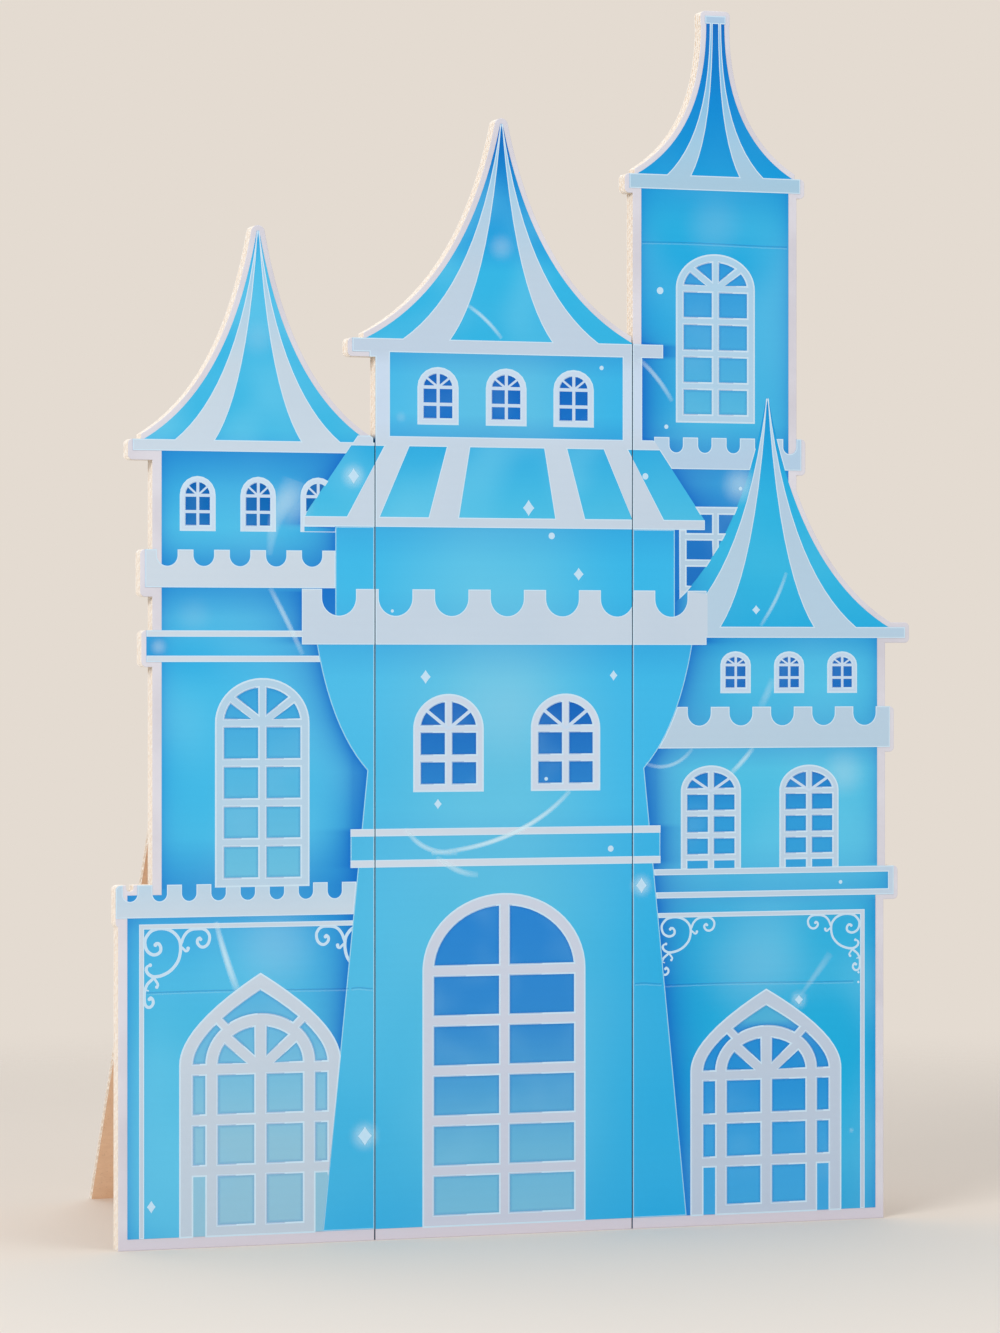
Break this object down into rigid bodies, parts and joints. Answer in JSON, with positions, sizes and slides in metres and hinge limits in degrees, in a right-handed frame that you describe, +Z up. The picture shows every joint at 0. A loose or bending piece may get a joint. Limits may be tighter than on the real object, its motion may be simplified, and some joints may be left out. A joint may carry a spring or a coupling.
{
  "type": "cardboard castle",
  "caption": "Free-standing cardboard castle with towers, spires and printed windows, made of flat boards joined edge to edge and held upright by folded easel legs.",
  "frame": {"origin": "on the floor, at the middle of the centre board's base and at half the board's thickness", "axes": "+X to the right as seen from the front, +Y to the back, +Z up"},
  "size_m": [0.686, 0.3677, 1],
  "materials": {
    "board": "matte white liner",
    "kraft": "matte brown liner",
    "tape": "matte gummed paper",
    "trim_ink": "satin print",
    "glass_ink": "satin print",
    "roof_ink": "satin print",
    "wall_ink": "satin print"
  },
  "bodies": {
    "root": {"left_panel": "board", "centre_panel": "board", "right_panel": "board", "left_hinge_tape": "tape", "right_hinge_tape": "tape", "left_easel_leg": "kraft", "right_easel_leg": "kraft", "left_leg_strap": "kraft", "right_leg_strap": "kraft", "left_trim_print": "trim_ink", "left_glass_print": "glass_ink", "left_roof_print": "roof_ink", "left_tower_print": "wall_ink", "left_wall_print": "wall_ink", "centre_trim_print": "trim_ink", "centre_glass_print": "glass_ink", "centre_roof_print": "roof_ink", "centre_wall_print": "wall_ink", "right_trim_print": "trim_ink", "right_glass_print": "glass_ink", "right_roof_print": "roof_ink", "right_tower_print": "wall_ink", "right_wall_print": "wall_ink"}
  },
  "joints": []
}
